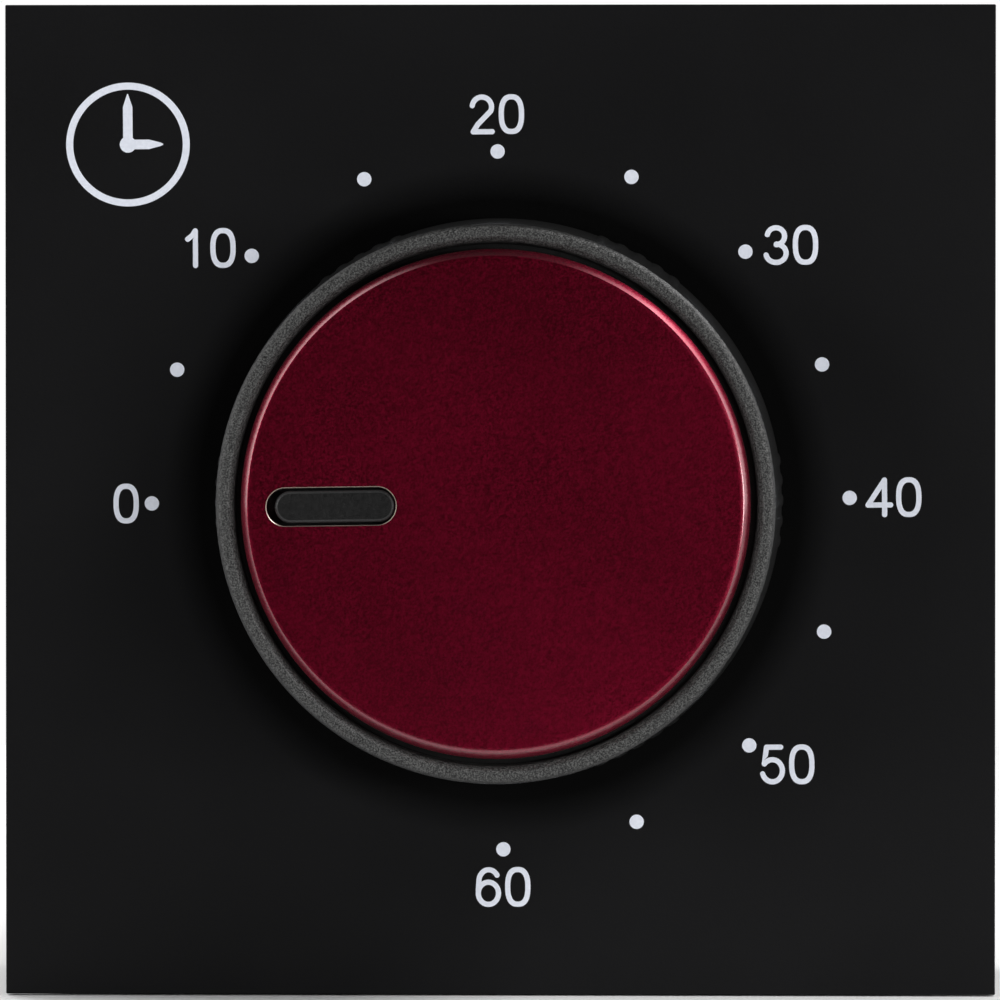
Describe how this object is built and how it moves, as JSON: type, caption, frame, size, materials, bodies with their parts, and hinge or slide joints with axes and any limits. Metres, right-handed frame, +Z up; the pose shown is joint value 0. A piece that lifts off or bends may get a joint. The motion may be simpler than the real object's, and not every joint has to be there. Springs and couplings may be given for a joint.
{
  "type": "kitchen timer",
  "caption": "Square clockwork kitchen timer with a round knob on its face, a red cap with a pointer, a wheel train, a bell and a flat magnetic back.",
  "frame": {"origin": "centre of the underside, level with the bottom of the feet", "axes": "+Z up; the dial and knob face -Y; +X to the right as the dial is read"},
  "size_m": [0.08, 0.0522, 0.0801],
  "materials": {
    "black_face": "fine matte",
    "black_plastic": "satin moulded",
    "grain_plastic": "spark-eroded grain",
    "pointer_black": "semi-gloss",
    "red_metal": "dark red anodised satin",
    "steel": "plain",
    "spring_steel": "blued",
    "bell_steel": "nickel plated",
    "brass": "plain",
    "magnet": "nickel plated",
    "rubber": "matte"
  },
  "bodies": {
    "case": {"front_plate": "black_face", "plate_bush": "brass", "case_shell": "black_plastic", "rear_cover": "black_plastic", "rear_cover_screw_1": "steel", "rear_cover_screw_2": "steel", "rear_cover_screw_3": "steel", "rear_cover_screw_4": "steel", "magnet_1": "magnet", "magnet_2": "magnet", "foot_1": "rubber", "foot_2": "rubber", "foot_3": "rubber", "foot_4": "rubber", "frame_plate_front": "steel", "frame_plate_rear": "steel", "frame_pillar_1": "brass", "frame_pillar_2": "brass", "frame_pillar_3": "brass", "frame_pillar_4": "brass", "pillar_nut_1": "steel", "pillar_nut_2": "steel", "pillar_nut_3": "steel", "pillar_nut_4": "steel", "movement_screw_1": "steel", "movement_screw_2": "steel", "mainspring": "spring_steel", "bell_gong": "bell_steel", "bell_post": "steel", "bell_screw": "steel", "hammer_post": "steel", "hammer_spring": "spring_steel"},
    "knob": {"knob_body": "grain_plastic", "knob_cap": "red_metal", "pointer_insert": "pointer_black", "knob_clip": "spring_steel", "main_arbor": "steel", "main_wheel": "brass", "clutch_washer": "spring_steel", "trip_cam": "steel"},
    "second_train": {"second_arbor": "steel", "second_wheel": "brass"},
    "third_train": {"third_arbor": "steel", "third_wheel": "brass"},
    "escape_train": {"escape_arbor": "steel", "escape_wheel": "brass"},
    "verge": {"verge_arbor": "steel", "verge_anchor": "steel", "balance_bar": "brass"},
    "hammer": {"hammer_lever": "steel", "hammer_head": "brass"}
  },
  "joints": [
    {"name": "knob_turn", "type": "hinge", "parent": "case", "child": "knob", "pos_m": [0, -0.0083, 0.0401], "axis": [0, 1, 0], "range_deg": [0, 270]},
    {"name": "second_spin", "type": "hinge", "parent": "case", "child": "second_train", "pos_m": [-0.01184, 0.0017, 0.03579], "axis": [0, 1, 0], "range_deg": [-1620, 0]},
    {"name": "third_spin", "type": "hinge", "parent": "case", "child": "third_train", "pos_m": [-0.00624, 0.0017, 0.02609], "axis": [0, 1, 0], "range_deg": [0, 9720]},
    {"name": "escape_spin", "type": "hinge", "parent": "case", "child": "escape_train", "pos_m": [0.00341, 0.0017, 0.02439], "axis": [0, 1, 0], "range_deg": [-58320, 0]},
    {"name": "verge_rock", "type": "hinge", "parent": "case", "child": "verge", "pos_m": [0.01362, 0.0017, 0.02439], "axis": [0, 1, 0], "range_deg": [-4, 4]},
    {"name": "hammer_swing", "type": "hinge", "parent": "case", "child": "hammer", "pos_m": [0.02, 0.0137, 0.0381], "axis": [0, 1, 0], "range_deg": [-2.8, 5], "stiffness_Nm_per_rad": 0.004}
  ],
  "couplings": [
    {"joint": "second_spin", "follows": "knob_turn", "ratio": -6},
    {"joint": "third_spin", "follows": "knob_turn", "ratio": 36},
    {"joint": "escape_spin", "follows": "knob_turn", "ratio": -216}
  ]
}
